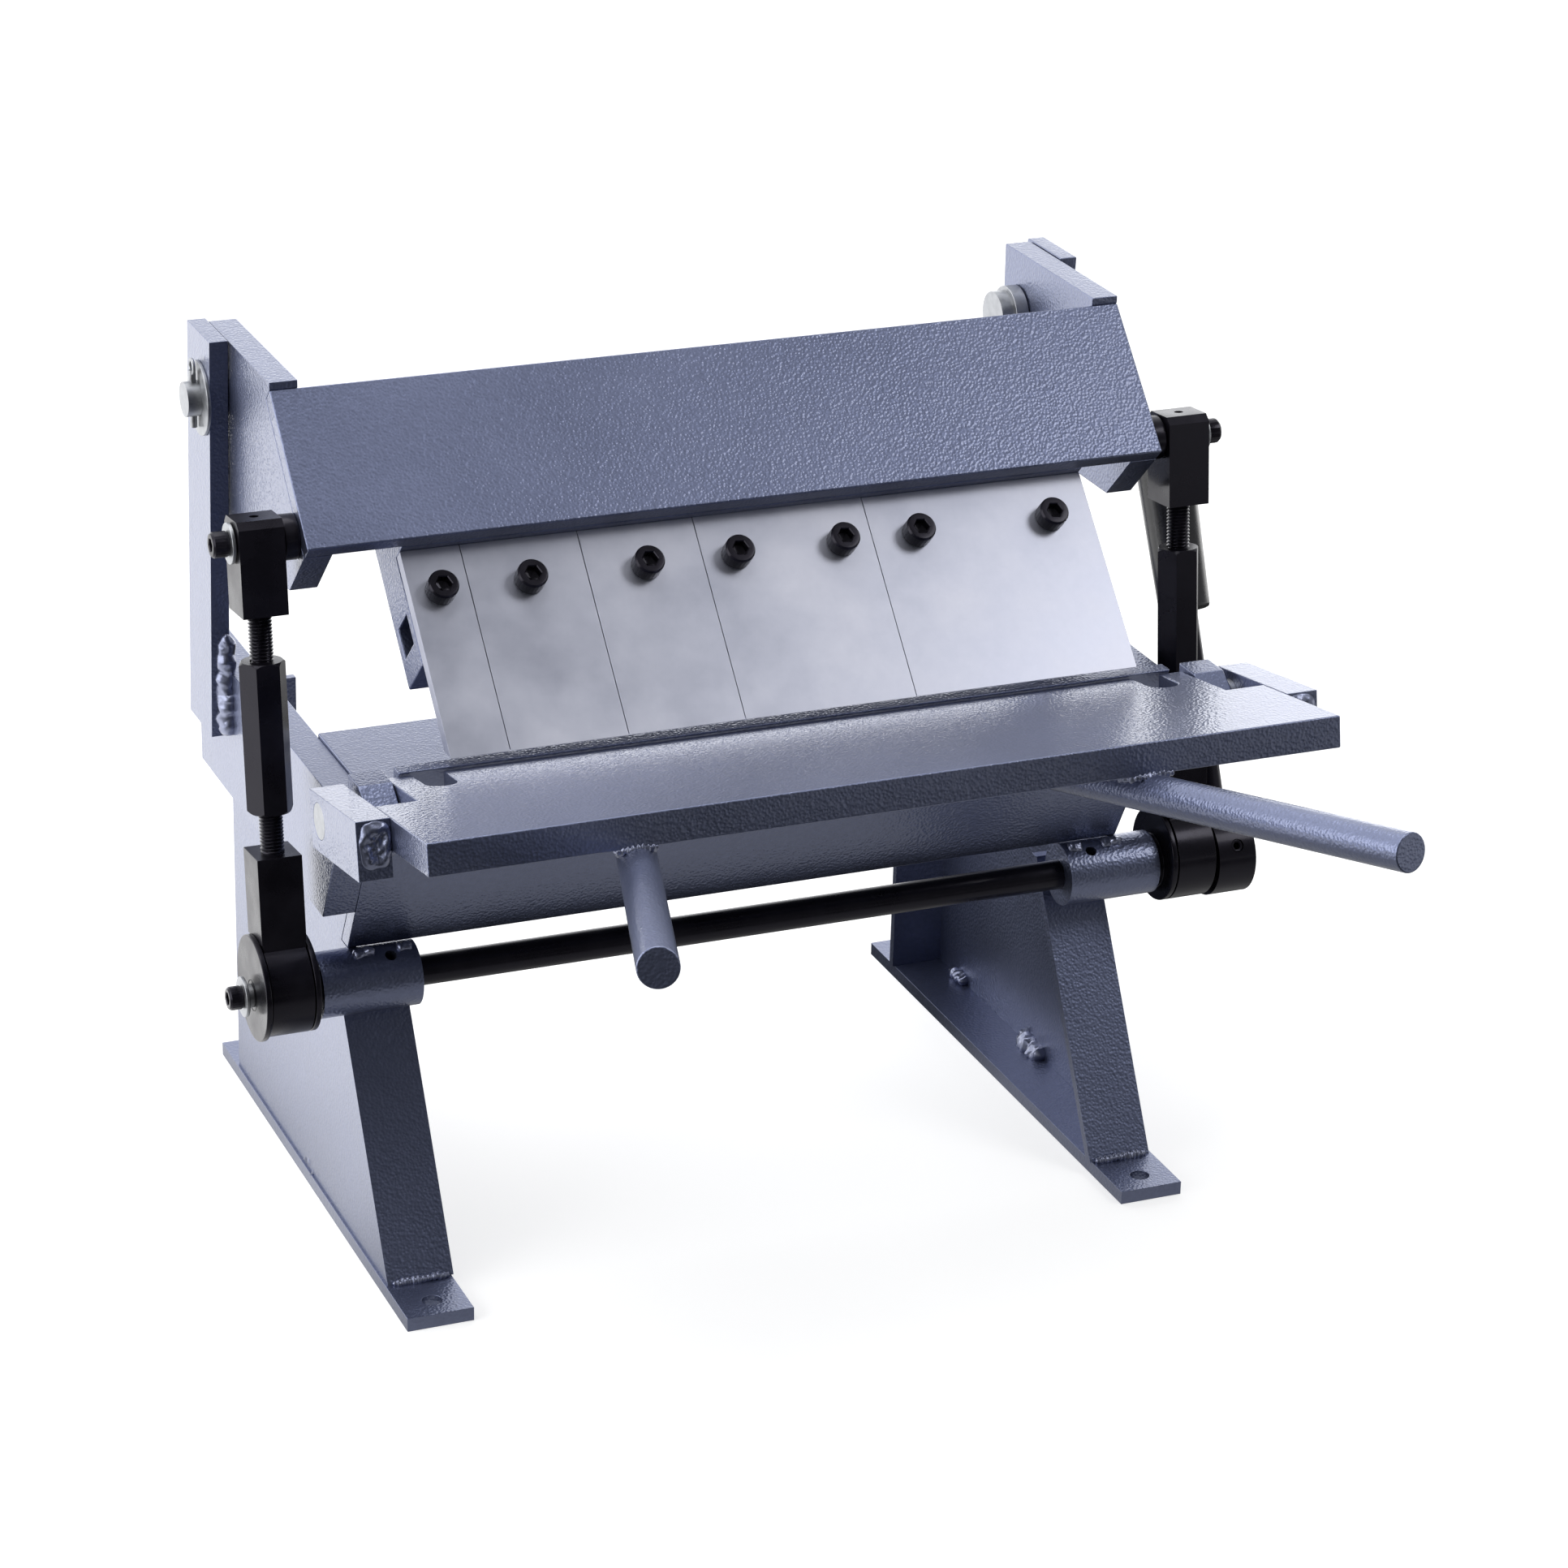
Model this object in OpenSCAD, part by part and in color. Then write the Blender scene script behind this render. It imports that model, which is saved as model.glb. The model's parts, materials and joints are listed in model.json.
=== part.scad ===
// Bench-top box and pan brake with five finger blocks, an eccentric clamp and a hinged bending leaf.
// Frame: X to the right along the bending edge, Y to the back, Z up.
// The origin lies on the bench at the middle of the base.
// All lengths are in millimetres. The rest position is the open clamp with the leaf a little above level.

/* [Base] */
// Half distance between the outer edges of the two feet
foot_outer_x = 178; // [174:1:184]
// Width of each foot bar
foot_w = 29; // [24:1:34]
// Half length of each foot bar
foot_half_l = 140; // [130:1:160]
// Thickness of each foot bar
foot_t = 6; // [4:0.5:8]
// Diameter of the bench bolt holes
bolt_hole_d = 8.5; // [6:0.5:11]
// Distance of a bolt hole from the end of its foot
bolt_hole_inset = 12; // [9:0.5:16]

/* [Stands] */
// Sheet thickness of the bent stands
stand_t = 4; // [3:0.5:5]
// Width of the turned-in flanges of a stand
stand_flange_w = 29; // [20:1:34]
// Place of the front flange where it meets the foot, forward of the middle
stand_front_y = 110; // [100:1:118]
// Slope of the front flange, measured from upright
stand_front_lean = 29.1; // [26:0.1:31]
// Place of the rear flange where it meets the foot, behind the middle
stand_rear_y = 115; // [105:1:125]
// Slope of the rear flange, measured from upright
stand_rear_lean = 1.4; // [0:0.1:3]
// Height of the top of the rear flange
rear_flange_top_z = 196; // [150:1:210]

/* [Side plates and columns] */
// Inner face of each side plate from the middle
side_in_x = 177; // [174:1:182]
// Thickness of the side plates
side_t = 14; // [10:1:16]
// Height of the lower edge of the side plates
side_bottom_z = 161.8; // [156:0.2:168]
// Height of the upper edge of the side plates
side_top_z = 221.5; // [218:0.5:224]
// Rear edge of the side plates, behind the middle
side_rear_y = 110; // [104:1:116]
// Reach of the ear forward of the hinge axis and below it
ear_r = 12; // [10.5:0.5:13]
// Height of the flat ear top above the hinge axis
ear_rise = 11.7; // [10.5:0.1:12]
// Reach of the ear behind the hinge axis
ear_back_l = 16; // [13:0.5:18]
// Length of the flat ear top
ear_flat_l = 14; // [10:0.5:15]
// Height of the blunt ear nose above the hinge axis
ear_nose_rise = 2; // [1:0.5:5]
// Thickness of the columns
column_t = 8; // [6:1:10]
// Width of the columns
column_w = 34.5; // [30:0.5:40]
// Height of the foot of a column on its side plate
column_bottom_z = 191; // [186:1:200]
// Front edge of a column at its lower end, behind the middle
column_front_y = 62; // [56:1:68]
// Forward lean of the columns from upright
column_lean = 5; // [3:0.1:7]
// Height of the column tops above the clamp pivot
column_rise = 28.5; // [20:0.5:32]

/* [Bed] */
// Height of the jaw edge
jaw_z = 240; // [236:0.5:244]
// Place of the jaw edge, forward of the middle
jaw_front_y = 118; // [117:0.5:119]
// Depth of the flat land on top of the jaw
jaw_land = 8; // [6:0.5:10]
// Thickness of the bed plates
bed_t = 8; // [6:0.5:10]
// Height of the top face of the bed plate
bed_z = 223; // [222:0.5:226]
// Rear edge of the bed plate, forward of the middle
bed_rear_y = 25; // [15:1:35]
// Slope of the front plate of the bed, measured from upright
bed_front_lean = 29.4; // [27:0.1:32]
// Shortfall of the raised jaw at each end
jaw_end_gap = 6; // [4:1:16]

/* [Leaf] */
// Place of the hinge axis, forward of the middle
hinge_y = 130; // [129.5:0.5:131]
// Height of the hinge axis
hinge_z = 229.3; // [229:0.1:229.6]
// Rest angle of the leaf above level
leaf_rest_tilt = 9.3; // [0:0.1:20]
// Distance of the leaf front edge from the hinge axis
leaf_front_u = 97.5; // [85:0.5:120]
// Distance of the leaf rear edge behind the hinge axis
leaf_rear_u = 11; // [9:0.5:11]
// Height of the leaf top face above the hinge axis
leaf_top_v = 11; // [10:0.2:11.2]
// Thickness of the leaf
leaf_t = 13.5; // [10:0.5:15]
// Depth of the ear slots in the leaf, forward of the hinge axis
ear_slot_u = 31; // [20:1:36]
// Gap between a side plate and its hinge cheek
cheek_gap = 3; // [2:0.5:5]
// Thickness of the hinge cheeks
cheek_t = 14; // [10:1:16]
// Length of a cheek forward of the hinge axis
cheek_front_u = 51.5; // [45:0.5:60]
// Length of a cheek behind the hinge axis
cheek_rear_u = 11.5; // [11:0.5:14]
// Height of a cheek
cheek_h = 24; // [20:0.5:26]
// Diameter of the hinge pins
hinge_pin_d = 15; // [12:0.5:16]
// Width of the round-ended relief in the rear edge of the leaf
relief_w = 13; // [10:1:24]
// Outer side of the relief from the end of the leaf
relief_inset = 28.5; // [22:0.5:34]
// Reach of the relief forward of the hinge axis
relief_u = 13; // [8:1:18]
// Diameter of the handle bars
handle_d = 16; // [12:0.5:18]
// Splay of each handle outward
handle_splay = 17.4; // [10:0.2:24]
// Distance of a handle from the middle at the leaf front edge
handle_x = 110; // [90:1:130]
// Length of a handle in front of the leaf
handle_free_l = 139; // [110:1:170]
// Length of a handle under the leaf
handle_root_l = 60; // [40:1:70]

/* [Clamp frame] */
// Place of the clamp pivot, behind the middle
pivot_y = 61.4; // [58:0.2:64]
// Height of the clamp pivot
pivot_z = 345; // [343:0.5:347]
// Diameter of the clamp pivot pins
pivot_d = 15; // [12:0.5:16]
// Thickness of the arms
arm_t = 12; // [10:0.5:12]
// Height of the arm top edge above the pivot
arm_rise = 28; // [24:0.5:30]
// Least cover of the arm over the top edge of the beam
arm_cover = 3; // [2:0.5:8]
// Reach of the arm behind the pivot
arm_rear_reach = 16; // [14:0.5:17]
// Depth of the level lower arm edge below the pivot
arm_drop = 54; // [46:0.5:58]
// Width of the slanted front leg of the clamping beam
beam_front_w = 72; // [66:0.5:78]
// Width of the rear leg of the clamping beam
beam_rear_w = 68; // [50:1:72]
// Thickness of the clamping beam
beam_t = 8; // [6:0.5:9]
// Slope of the front leg of the beam from level
beam_slope = 46.2; // [45:0.1:48]
// Place of the lower front edge of the beam, forward of the middle
beam_corner_y = 62.9; // [61:0.2:64]
// Height of the lower front edge of the beam
beam_corner_z = 317.9; // [316:0.2:319]

/* [Fingers] */
// Width of the narrowest finger, the unit for the others
finger_unit_w = 25.4; // [22:0.1:25.6]
// Thickness of the fingers
finger_t = 6; // [5:0.5:8]
// Depth of the finger faces behind the face of the beam
finger_setback = 12; // [9:0.5:13]
// Length of the fingers
finger_l = 92.1; // [88:0.1:92.1]
// Gap between neighbouring fingers
finger_gap = 0.3; // [0.2:0.05:0.6]
// Shift of the row of fingers to the right
finger_shift = 3; // [0:0.5:6]
// Thickness of the bar behind the fingers
backing_t = 26; // [20:0.5:30]
// Width of the bar behind the fingers
backing_w = 48; // [36:1:52]
// Height of the shoulder that joins that bar to the beam
backing_shoulder_h = 22; // [12:1:30]
// Distance of the finger screws from the upper end of the fingers
screw_drop = 19.5; // [15:0.5:24]
// Shank diameter of the finger screws
screw_d = 8; // [6:0.5:9]
// Head diameter of the finger screws
screw_head_d = 13; // [11:0.5:14]
// Head height of the finger screws
screw_head_h = 8; // [5:0.5:9]
// Key socket width of the finger screws
screw_key_w = 6; // [4:0.5:7]
// Side inset of the two screws of the three-unit finger
screw_inset_mid = 14.5; // [12:0.5:20]
// Side inset of the two screws of the four-unit finger
screw_inset_wide = 20; // [14:0.5:26]

/* [Cam shaft] */
// Place of the shaft axis, forward of the middle
shaft_y = 64; // [63:0.5:65]
// Height of the shaft axis
shaft_z = 126.5; // [125:0.5:127]
// Diameter of the shaft
shaft_d = 13; // [11:0.5:14]
// Outer diameter of the shaft housings
housing_d = 28; // [24:0.5:29]
// Inner end of each housing from the middle
housing_in_x = 149; // [140:1:160]
// Outer end of each housing from the middle
housing_out_x = 192; // [189:0.5:193]
// Diameter of the oil hole in each housing
oil_hole_d = 5; // [3:0.5:6]
// Offset of the eccentrics from the shaft axis
cam_offset = 3.2; // [2.8:0.1:3.3]
// Outer diameter of the strap rings
strap_d = 42; // [38:0.5:46]
// Wall of the strap rings
strap_wall = 4.5; // [4:0.5:6]
// Diameter of the retaining flanges of the eccentrics
flange_d = 45; // [43:0.5:48]
// Thickness of the retaining flanges
flange_t = 2.5; // [2:0.5:4]
// Diameter of the collars between the housings and the eccentrics
collar_d = 24; // [20:0.5:26]
// Diameter of the screw at the left shaft end
end_screw_d = 6; // [4:0.5:8]
// Head diameter of the screw at the left shaft end
end_head_d = 10; // [8:0.5:12]
// Head height of the screw at the left shaft end
end_head_h = 6; // [4:0.5:8]
// Diameter of the washer at the left shaft end
end_washer_d = 17; // [14:0.5:20]
// Length of the spacer boss under that washer
end_boss_l = 3; // [1:0.5:5]

/* [Lever] */
// Diameter of the lever hub
hub_d = 38; // [34:0.5:42]
// Length of the lever hub
hub_l = 18; // [14:0.5:20]
// Lean of the lever to the back
lever_lean = 28; // [15:1:32]
// Outward lean of the lever, so that its grip passes the link
lever_splay = 2; // [1.5:0.1:3]
// Diameter of the lever bar
lever_d = 11; // [9:0.5:13]
// Distance of the grip from the shaft axis
grip_start = 109; // [100:1:109]
// Length of the grip
grip_l = 72; // [50:1:72]
// Diameter of the grip at its lower end
grip_low_d = 23; // [18:0.5:26]
// Diameter of the grip at its upper end
grip_top_d = 26; // [20:0.5:27]
// Diameter of the set screw in the hub
hub_screw_d = 6; // [4:0.5:8]

/* [Clamp links] */
// Place of the upper link axis, forward of the middle
link_y = 45; // [44:0.2:46]
// Height of the upper link axis
link_z = 318; // [317:0.2:319]
// Middle plane of each link from the middle
link_x = 207; // [206:0.5:209]
// Width of the link blocks
block_w = 19; // [18:0.5:20]
// Depth of the link blocks
block_depth = 21; // [18:0.5:24]
// Height of the upper block above its axis
block_rise = 10; // [9:0.5:12]
// Bevel of the top edges of the upper block
block_bevel = 3; // [1:0.5:5]
// Diameter of the oil hole in the top of the upper block
block_hole_d = 4; // [2:0.5:5]
// Height of the upper block below its axis
block_drop = 29.5; // [24:0.5:34]
// Height of the lower block above the strap ring
low_block_h = 37; // [30:1:40]
// Diameter of the threaded studs
stud_d = 10; // [8:0.5:10]
// Gap between the ends of the two studs in the coupling nut
stud_gap = 8; // [2:1:16]
// Width across the flats of the coupling nut
nut_w = 17; // [16:0.5:19]
// Length of the coupling nut
nut_l = 64; // [60:1:70]
// Distance of the coupling nut from the upper axis
nut_start = 50; // [45:1:55]
// Diameter of the bosses on the clamp arms
boss_d = 19; // [16:0.5:20]
// Shank diameter of the link screws
link_screw_d = 8; // [6:0.5:10]
// Head diameter of the link screws
link_head_d = 13; // [11:0.5:14]
// Head height of the link screws
link_head_h = 8; // [6:0.5:10]
// Diameter of the washers of the link screws
link_washer_d = 17; // [15:0.5:20]
// Thickness of the plain washers
washer_t = 1.6; // [1:0.1:2.5]

/* [Clamp pivot] */
// Diameter of the pivot washers
pivot_washer_d = 32; // [26:0.5:36]
// Length of a pivot pin outside its column
pivot_pin_out = 7.5; // [6:0.5:10]
// Diameter of the inner head of a pivot pin
pivot_head_d = 22; // [18:0.5:26]
// Thickness of the inner head of a pivot pin
pivot_head_t = 6; // [4:0.5:8]
// Thickness of the spacer collar inside an arm
pivot_collar_t = 6; // [4:0.5:8]
// Diameter of the spacer collar inside an arm
pivot_collar_d = 26; // [22:0.5:30]
// Wire diameter of the cotter pins
cotter_d = 3; // [2:0.5:3.5]
// Overhang of a cotter pin on each side of its pivot pin
cotter_over = 5; // [3:0.5:7]

/* [Fits] */
// Radial clearance of pins and shafts that turn
run_fit = 0.05; // [0.02:0.01:0.1]
// Side gap between pieces that turn against each other
side_gap = 0.5; // [0.3:0.05:0.8]
// Radial clearance of the strap rings on the eccentrics
strap_fit = 0.6; // [0.55:0.05:0.7]
// Play of a stud in its coupling nut
thread_fit = 0.05; // [0.02:0.01:0.1]
// Overrun of the cutting shapes
over = 1; // [0.5:0.5:2]

/* [Hidden] */
$fn = 64;
side_out_x = side_in_x + side_t;
jaw_half_x = side_in_x - jaw_end_gap;
web_in_x = side_in_x - stand_t;
foot_x = foot_outer_x - foot_w / 2;
bolt_y = foot_half_l - bolt_hole_inset;
column_h = pivot_z + column_rise - column_bottom_z;
arm_out_x = side_out_x - side_gap;
arm_in_x = arm_out_x - arm_t;
column_out_x = side_out_x + column_t;
bs = sin(beam_slope);
bc = cos(beam_slope);
beam_x = arm_out_x;
arm_low_z = pivot_z - arm_drop;
arm_toe_b = (beam_corner_z - arm_low_z) / bc;
cheek_in_x = side_out_x + cheek_gap;
cheek_out_x = cheek_in_x + cheek_t;
leaf_x = cheek_in_x;
slot_in_x = side_in_x - side_gap;
front_bottom_z = shaft_z + housing_d / 2;
front_drop = jaw_z - front_bottom_z;
front_run = front_drop * tan(bed_front_lean);
front_bottom_y = jaw_front_y - front_run;
bed_cut_t = bed_t / cos(bed_front_lean);
cam_y = shaft_y;
cam_z = shaft_z + cam_offset;
link_dy = cam_y - link_y;
link_dz = link_z - cam_z;
link_l = sqrt(link_dy * link_dy + link_dz * link_dz);
link_lean = atan2(link_dy, link_dz);
strap_bore_d = strap_d - 2 * strap_wall;
drum_d = strap_bore_d - 2 * strap_fit;
block_in_x = link_x - block_w / 2;
block_out_x = link_x + block_w / 2;
strap_w = block_w - 2 * side_gap;
strap_in_x = link_x - strap_w / 2;
strap_out_x = link_x + strap_w / 2;
drum_in_x = strap_in_x - side_gap;
drum_out_x = strap_out_x + side_gap;
hub_in_x = drum_out_x + flange_t;
hub_out_x = hub_in_x + hub_l;
boss_out_x = block_in_x - side_gap;
row_l = 12 * finger_unit_w;
row_start = finger_shift - row_l / 2;
nut_flat_r = nut_w / 2;
nut_corner_r = nut_flat_r / cos(30);
stud_grip = (nut_l - stud_gap) / 2;
low_block_start = link_l - strap_d / 2 - low_block_h;
pivot_pin_end = column_out_x + pivot_pin_out;
collar_in_x = arm_in_x - side_gap - pivot_collar_t;
handle_v = leaf_top_v - leaf_t - handle_d / 2;
hinge_pin_in_x = side_in_x;

// Builds its children again on the other side of the middle plane
module left_side() {
    mirror([1, 0, 0]) children();
}

// Extrudes a side profile, drawn with Y to the right and Z up, along X
module along_x(x_start, x_end) {
    translate([x_start, 0, 0]) rotate([90, 0, 90]) linear_extrude(x_end - x_start) children();
}

// Round bar along X at a given place
module bar_x(x_start, x_end, place_y, place_z, diameter) {
    translate([x_start, place_y, place_z]) rotate([0, 90, 0]) cylinder(h = x_end - x_start, d = diameter);
}

// Points of the clamp plane: a runs down along the beam face, b runs behind the face
function clamp_pt(a, b) = [-beam_corner_y - a * bc + b * bs, beam_corner_z - a * bs - b * bc];

// Places its children at a point of the clamp plane with Z out of the finger faces
module clamp_place(x_place, a, b) {
    translate([x_place, clamp_pt(a, b)[0], clamp_pt(a, b)[1]]) rotate([beam_slope, 0, 0]) children();
}

// Foot bar with its two bench holes
module foot() {
    difference() {
        translate([foot_outer_x - foot_w, -foot_half_l, 0]) cube([foot_w, 2 * foot_half_l, foot_t]);
        for (side = [-1, 1])
            translate([foot_x, side * bolt_y, -over]) cylinder(h = foot_t + 2 * over, d = bolt_hole_d);
    }
}

// Side outline of a stand between its foot and the bed
module stand_outline() {
    top_z = bed_z - bed_t;
    front_h = shaft_z - foot_t;
    polygon([[-stand_front_y, foot_t], [stand_rear_y, foot_t],
        [stand_rear_y - (top_z - foot_t) * tan(stand_rear_lean), top_z],
        [-front_bottom_y - (top_z - front_bottom_z) * tan(bed_front_lean) + bed_cut_t, top_z],
        [-front_bottom_y + bed_cut_t, front_bottom_z],
        [-shaft_y, front_bottom_z],
        [-stand_front_y + front_h * tan(stand_front_lean), shaft_z]]);
}

// Bent stand: a web with flanges turned in along its front and rear edges
module stand() {
    flange_top = shaft_z;
    rear_shift = (rear_flange_top_z - foot_t) * tan(stand_rear_lean);
    difference() {
        union() {
            along_x(web_in_x, side_in_x) stand_outline();
            along_x(side_in_x - stand_flange_w, web_in_x) {
                polygon([[-stand_front_y, foot_t],
                    [-stand_front_y + stand_t / cos(stand_front_lean), foot_t],
                    [-stand_front_y + stand_t / cos(stand_front_lean)
                        + (flange_top - foot_t) * tan(stand_front_lean), flange_top],
                    [-stand_front_y + (flange_top - foot_t) * tan(stand_front_lean), flange_top]]);
                polygon([[stand_rear_y - stand_t, foot_t], [stand_rear_y, foot_t],
                    [stand_rear_y - rear_shift, rear_flange_top_z],
                    [stand_rear_y - stand_t - rear_shift, rear_flange_top_z]]);
            }
        }
        bar_x(housing_in_x - over, housing_out_x + over, -shaft_y, shaft_z, housing_d);
    }
}

// Side plate with the raised ear that holds the hinge pin
module side_plate() {
    slope = tan(bed_front_lean);
    along_x(side_in_x, side_out_x) difference() {
        polygon([[side_rear_y, side_bottom_z], [side_rear_y, side_top_z],
            [-hinge_y + ear_back_l, side_top_z], [-hinge_y + ear_back_l, hinge_z + ear_rise],
            [-hinge_y + ear_back_l - ear_flat_l, hinge_z + ear_rise],
            [-hinge_y - ear_r, hinge_z + ear_nose_rise], [-hinge_y - ear_r, hinge_z - ear_nose_rise],
            [-hinge_y - ear_nose_rise, hinge_z - ear_r],
            [-jaw_front_y + (jaw_z - hinge_z + ear_r) * slope, hinge_z - ear_r],
            [-jaw_front_y + (jaw_z - side_bottom_z) * slope, side_bottom_z]]);
        translate([-hinge_y, hinge_z]) circle(r = hinge_pin_d / 2 + run_fit);
    }
}

// Leaning column that carries one clamp pivot
module column() {
    lean = column_h * tan(column_lean);
    along_x(side_out_x, column_out_x) difference() {
        polygon([[column_front_y, column_bottom_z], [column_front_y + column_w, column_bottom_z],
            [column_front_y + column_w - lean, column_bottom_z + column_h],
            [column_front_y - lean, column_bottom_z + column_h]]);
        translate([pivot_y, pivot_z]) circle(d = pivot_d);
    }
}

// Level bed plate between the side plates
module bed_top() {
    color([0.42, 0.44, 0.55])
        along_x(-side_in_x, side_in_x)
            polygon([[-front_bottom_y - (bed_z - front_bottom_z) * tan(bed_front_lean) + bed_cut_t, bed_z],
                [-bed_rear_y, bed_z], [-bed_rear_y, bed_z - bed_t],
                [-front_bottom_y - (bed_z - bed_t - front_bottom_z) * tan(bed_front_lean) + bed_cut_t,
                    bed_z - bed_t]]);
}

// Slanted front plate whose upper end is the jaw
module bed_front() {
    land_z = jaw_z - jaw_land / 2;
    color([0.38, 0.4, 0.52]) {
        difference() {
            union() {
                along_x(-side_in_x, side_in_x)
                    polygon([[-front_bottom_y, front_bottom_z], [-front_bottom_y + bed_cut_t, front_bottom_z],
                        [-front_bottom_y - (bed_z - front_bottom_z) * tan(bed_front_lean) + bed_cut_t, bed_z],
                        [-front_bottom_y - (bed_z - front_bottom_z) * tan(bed_front_lean), bed_z]]);
                along_x(-jaw_half_x, jaw_half_x)
                    polygon([[-front_bottom_y - (bed_z - front_bottom_z) * tan(bed_front_lean), bed_z],
                        [-front_bottom_y - (bed_z - front_bottom_z) * tan(bed_front_lean) + bed_cut_t, bed_z],
                        [-jaw_front_y + jaw_land, land_z], [-jaw_front_y + jaw_land, jaw_z],
                        [-jaw_front_y, jaw_z]]);
            }
            for (side = [-1, 1])
                bar_x(side * (housing_in_x + housing_out_x) / 2 - (housing_out_x - housing_in_x) / 2 - over,
                    side * (housing_in_x + housing_out_x) / 2 + (housing_out_x - housing_in_x) / 2 + over,
                    -shaft_y, shaft_z, housing_d);
        }
    }
}

// Tube that carries the shaft, with an oil hole on top
module housing() {
    difference() {
        bar_x(housing_in_x, housing_out_x, -shaft_y, shaft_z, housing_d);
        bar_x(housing_in_x - over, housing_out_x + over, -shaft_y, shaft_z, shaft_d + 2 * run_fit);
        translate([(housing_in_x + web_in_x) / 2, -shaft_y, shaft_z])
            rotate([bed_front_lean, 0, 0]) cylinder(h = housing_d, d = oil_hole_d);
    }
}

// Pivot pin with a head on the inner side and a cross hole outside
module pivot_pin() {
    difference() {
        union() {
            bar_x(collar_in_x, pivot_pin_end, pivot_y, pivot_z, pivot_d);
            bar_x(collar_in_x - pivot_head_t, collar_in_x, pivot_y, pivot_z, pivot_head_d);
        }
        cotter_bar(cotter_d, pivot_d + 2 * over);
    }
}

// Straight part of a cotter pin across the outer end of a pivot pin
module cotter_bar(wire_d, length) {
    translate([column_out_x + washer_t + side_gap + cotter_d / 2, pivot_y, pivot_z - length / 2])
        cylinder(h = length, d = wire_d);
}

// Cotter pin with its round eye on top
module cotter() {
    length = pivot_d + 2 * cotter_over;
    eye_x = column_out_x + washer_t + side_gap + cotter_d / 2;
    cotter_bar(cotter_d, length);
    translate([eye_x, pivot_y, pivot_z + length / 2 + cotter_d / 2]) rotate([90, 0, 90])
        rotate_extrude() translate([cotter_d, 0]) circle(d = cotter_d / 2);
}

// Washer on a pivot pin outside the column
module pivot_washer() {
    difference() {
        bar_x(column_out_x, column_out_x + washer_t, pivot_y, pivot_z, pivot_washer_d);
        bar_x(column_out_x - over, column_out_x + washer_t + over, pivot_y, pivot_z, pivot_d);
    }
}

// Spacer collar between a pin head and its arm
module pivot_collar() {
    difference() {
        bar_x(collar_in_x, collar_in_x + pivot_collar_t, pivot_y, pivot_z, pivot_collar_d);
        bar_x(collar_in_x - over, collar_in_x + pivot_collar_t + over, pivot_y, pivot_z, pivot_d);
    }
}

// Clamp arm that reaches from its pivot to the beam
module arm() {
    beam_top = clamp_pt(-beam_front_w, 0);
    top_z = max(pivot_z + arm_rise, beam_top[1] + arm_cover);
    beam_top_rear = clamp_pt(-beam_front_w, beam_t);
    along_x(arm_in_x, arm_out_x) difference() {
        polygon([[pivot_y + arm_rear_reach, top_z], [beam_top[0], top_z], beam_top, beam_top_rear,
            clamp_pt(0, beam_t), clamp_pt(0, arm_toe_b), [pivot_y + arm_rear_reach, arm_low_z]]);
        translate([pivot_y, pivot_z]) circle(r = pivot_d / 2 + run_fit);
        translate([-link_y, link_z]) circle(d = link_screw_d);
    }
}

// Clamping beam, an angle with its corner at the top and its rear leg between the arms
module clamp_beam() {
    color([0.38, 0.4, 0.53]) {
        along_x(-beam_x, beam_x)
            polygon([clamp_pt(0, 0), clamp_pt(-beam_front_w, 0), clamp_pt(-beam_front_w, beam_t),
                clamp_pt(0, beam_t)]);
        along_x(-arm_in_x, arm_in_x)
            polygon([clamp_pt(-beam_front_w, beam_t), clamp_pt(-beam_front_w, beam_rear_w),
                clamp_pt(beam_t - beam_front_w, beam_rear_w), clamp_pt(beam_t - beam_front_w, beam_t)]);
    }
}

// Left edge of a finger, counted in width units from the left end of the row
function finger_edge(units) = row_start + units * finger_unit_w;

// Screw places along the row
screw_xs = [finger_edge(0.5), finger_edge(2), finger_edge(4), finger_edge(5) + screw_inset_mid,
    finger_edge(8) - screw_inset_mid, finger_edge(8) + screw_inset_wide, finger_edge(12) - screw_inset_wide];

// One finger with its bevelled nose and its screw holes
module finger(start_units, width_units) {
    nose_back = finger_t / tan(beam_slope);
    color([0.8, 0.81, 0.83]) difference() {
        along_x(finger_edge(start_units) + finger_gap / 2,
            finger_edge(start_units + width_units) - finger_gap / 2)
            polygon([clamp_pt(0, finger_setback), clamp_pt(0, finger_setback + finger_t),
                clamp_pt(finger_l - nose_back - finger_gap, finger_setback + finger_t),
                clamp_pt(finger_l, finger_setback)]);
        for (x = screw_xs)
            clamp_place(x, screw_drop, finger_setback + finger_t + over)
                cylinder(h = finger_t + 2 * over, d = screw_d);
    }
}

// Bar behind the fingers that takes their screws, with a shoulder against the beam
module backing_bar() {
    depth = finger_setback + finger_t;
    color([0.36, 0.37, 0.45]) difference() {
        along_x(row_start, row_start + row_l)
            polygon([clamp_pt(0, depth), clamp_pt(0, beam_t), clamp_pt(-backing_shoulder_h, beam_t),
                clamp_pt(-backing_shoulder_h, depth + backing_t), clamp_pt(backing_w, depth + backing_t),
                clamp_pt(backing_w, depth)]);
        for (x = screw_xs)
            clamp_place(x, screw_drop, depth + backing_t + over)
                cylinder(h = backing_t + 2 * over, d = screw_d);
    }
}

// Socket cap screw with its head up along Z and its seat at the origin
module cap_screw(head_d, head_h, shank_d, shank_l, key_w) {
    difference() {
        union() {
            cylinder(h = head_h, d = head_d);
            translate([0, 0, -shank_l]) cylinder(h = shank_l + head_h / 2, d = shank_d);
        }
        translate([0, 0, head_h / 2]) cylinder(h = head_h, d = key_w / cos(30), $fn = 6);
    }
}

// Screws that hold the fingers
module finger_screws() {
    color([0.12, 0.12, 0.13])
        for (x = screw_xs)
            clamp_place(x, screw_drop, finger_setback)
                cap_screw(screw_head_d, screw_head_h, screw_d, finger_t + backing_t, screw_key_w);
}

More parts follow.
